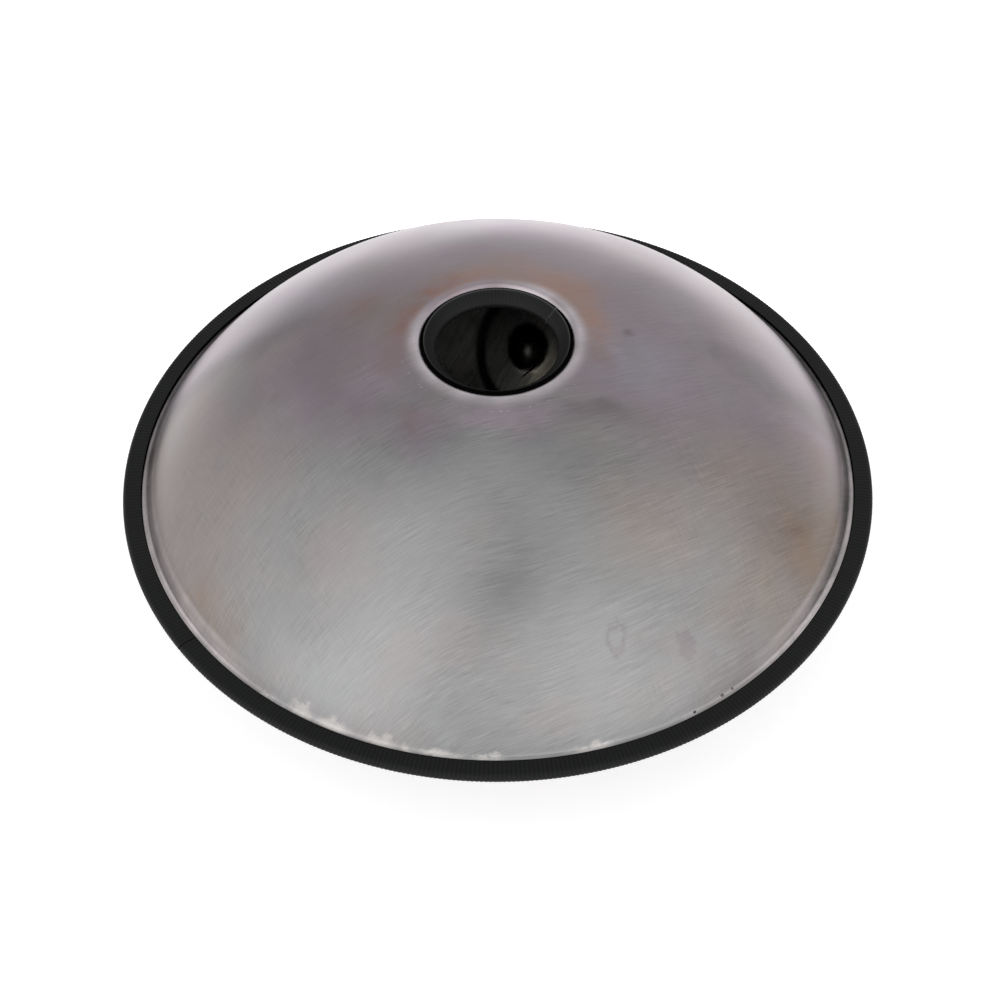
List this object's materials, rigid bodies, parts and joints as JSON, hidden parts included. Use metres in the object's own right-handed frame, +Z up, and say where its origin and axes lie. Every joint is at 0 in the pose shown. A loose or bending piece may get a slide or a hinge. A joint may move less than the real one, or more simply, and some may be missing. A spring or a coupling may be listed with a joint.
{
  "type": "handpan",
  "caption": "Handpan of two domed steel shells glued at a rubber-trimmed rim, with a round trimmed port on top and dimpled tone fields around a central note underneath.",
  "frame": {"origin": "centre of the flat ding field on which the instrument rests, straight below the port", "axes": "+Z up along the axis of both shells, from the ding to the port; -Y towards the side seen in the reference view; +X to its right"},
  "size_m": [0.54, 0.54, 0.2547],
  "materials": {
    "ding_steel": "nitrided steel, finely brushed, heat tinted",
    "gu_steel": "nitrided steel, finely brushed, heat tinted with soft bronze and violet patches",
    "adhesive": "cured glue line",
    "trim_rubber": "satin black, finely ribbed across its width",
    "clip_steel": "bare spring steel strip"
  },
  "bodies": {
    "root": {"ding_shell": "ding_steel", "gu_shell": "gu_steel", "rim_bond": "adhesive", "rim_trim": "trim_rubber", "rim_trim_core": "clip_steel", "port_trim": "trim_rubber", "port_trim_core": "clip_steel"}
  },
  "joints": []
}
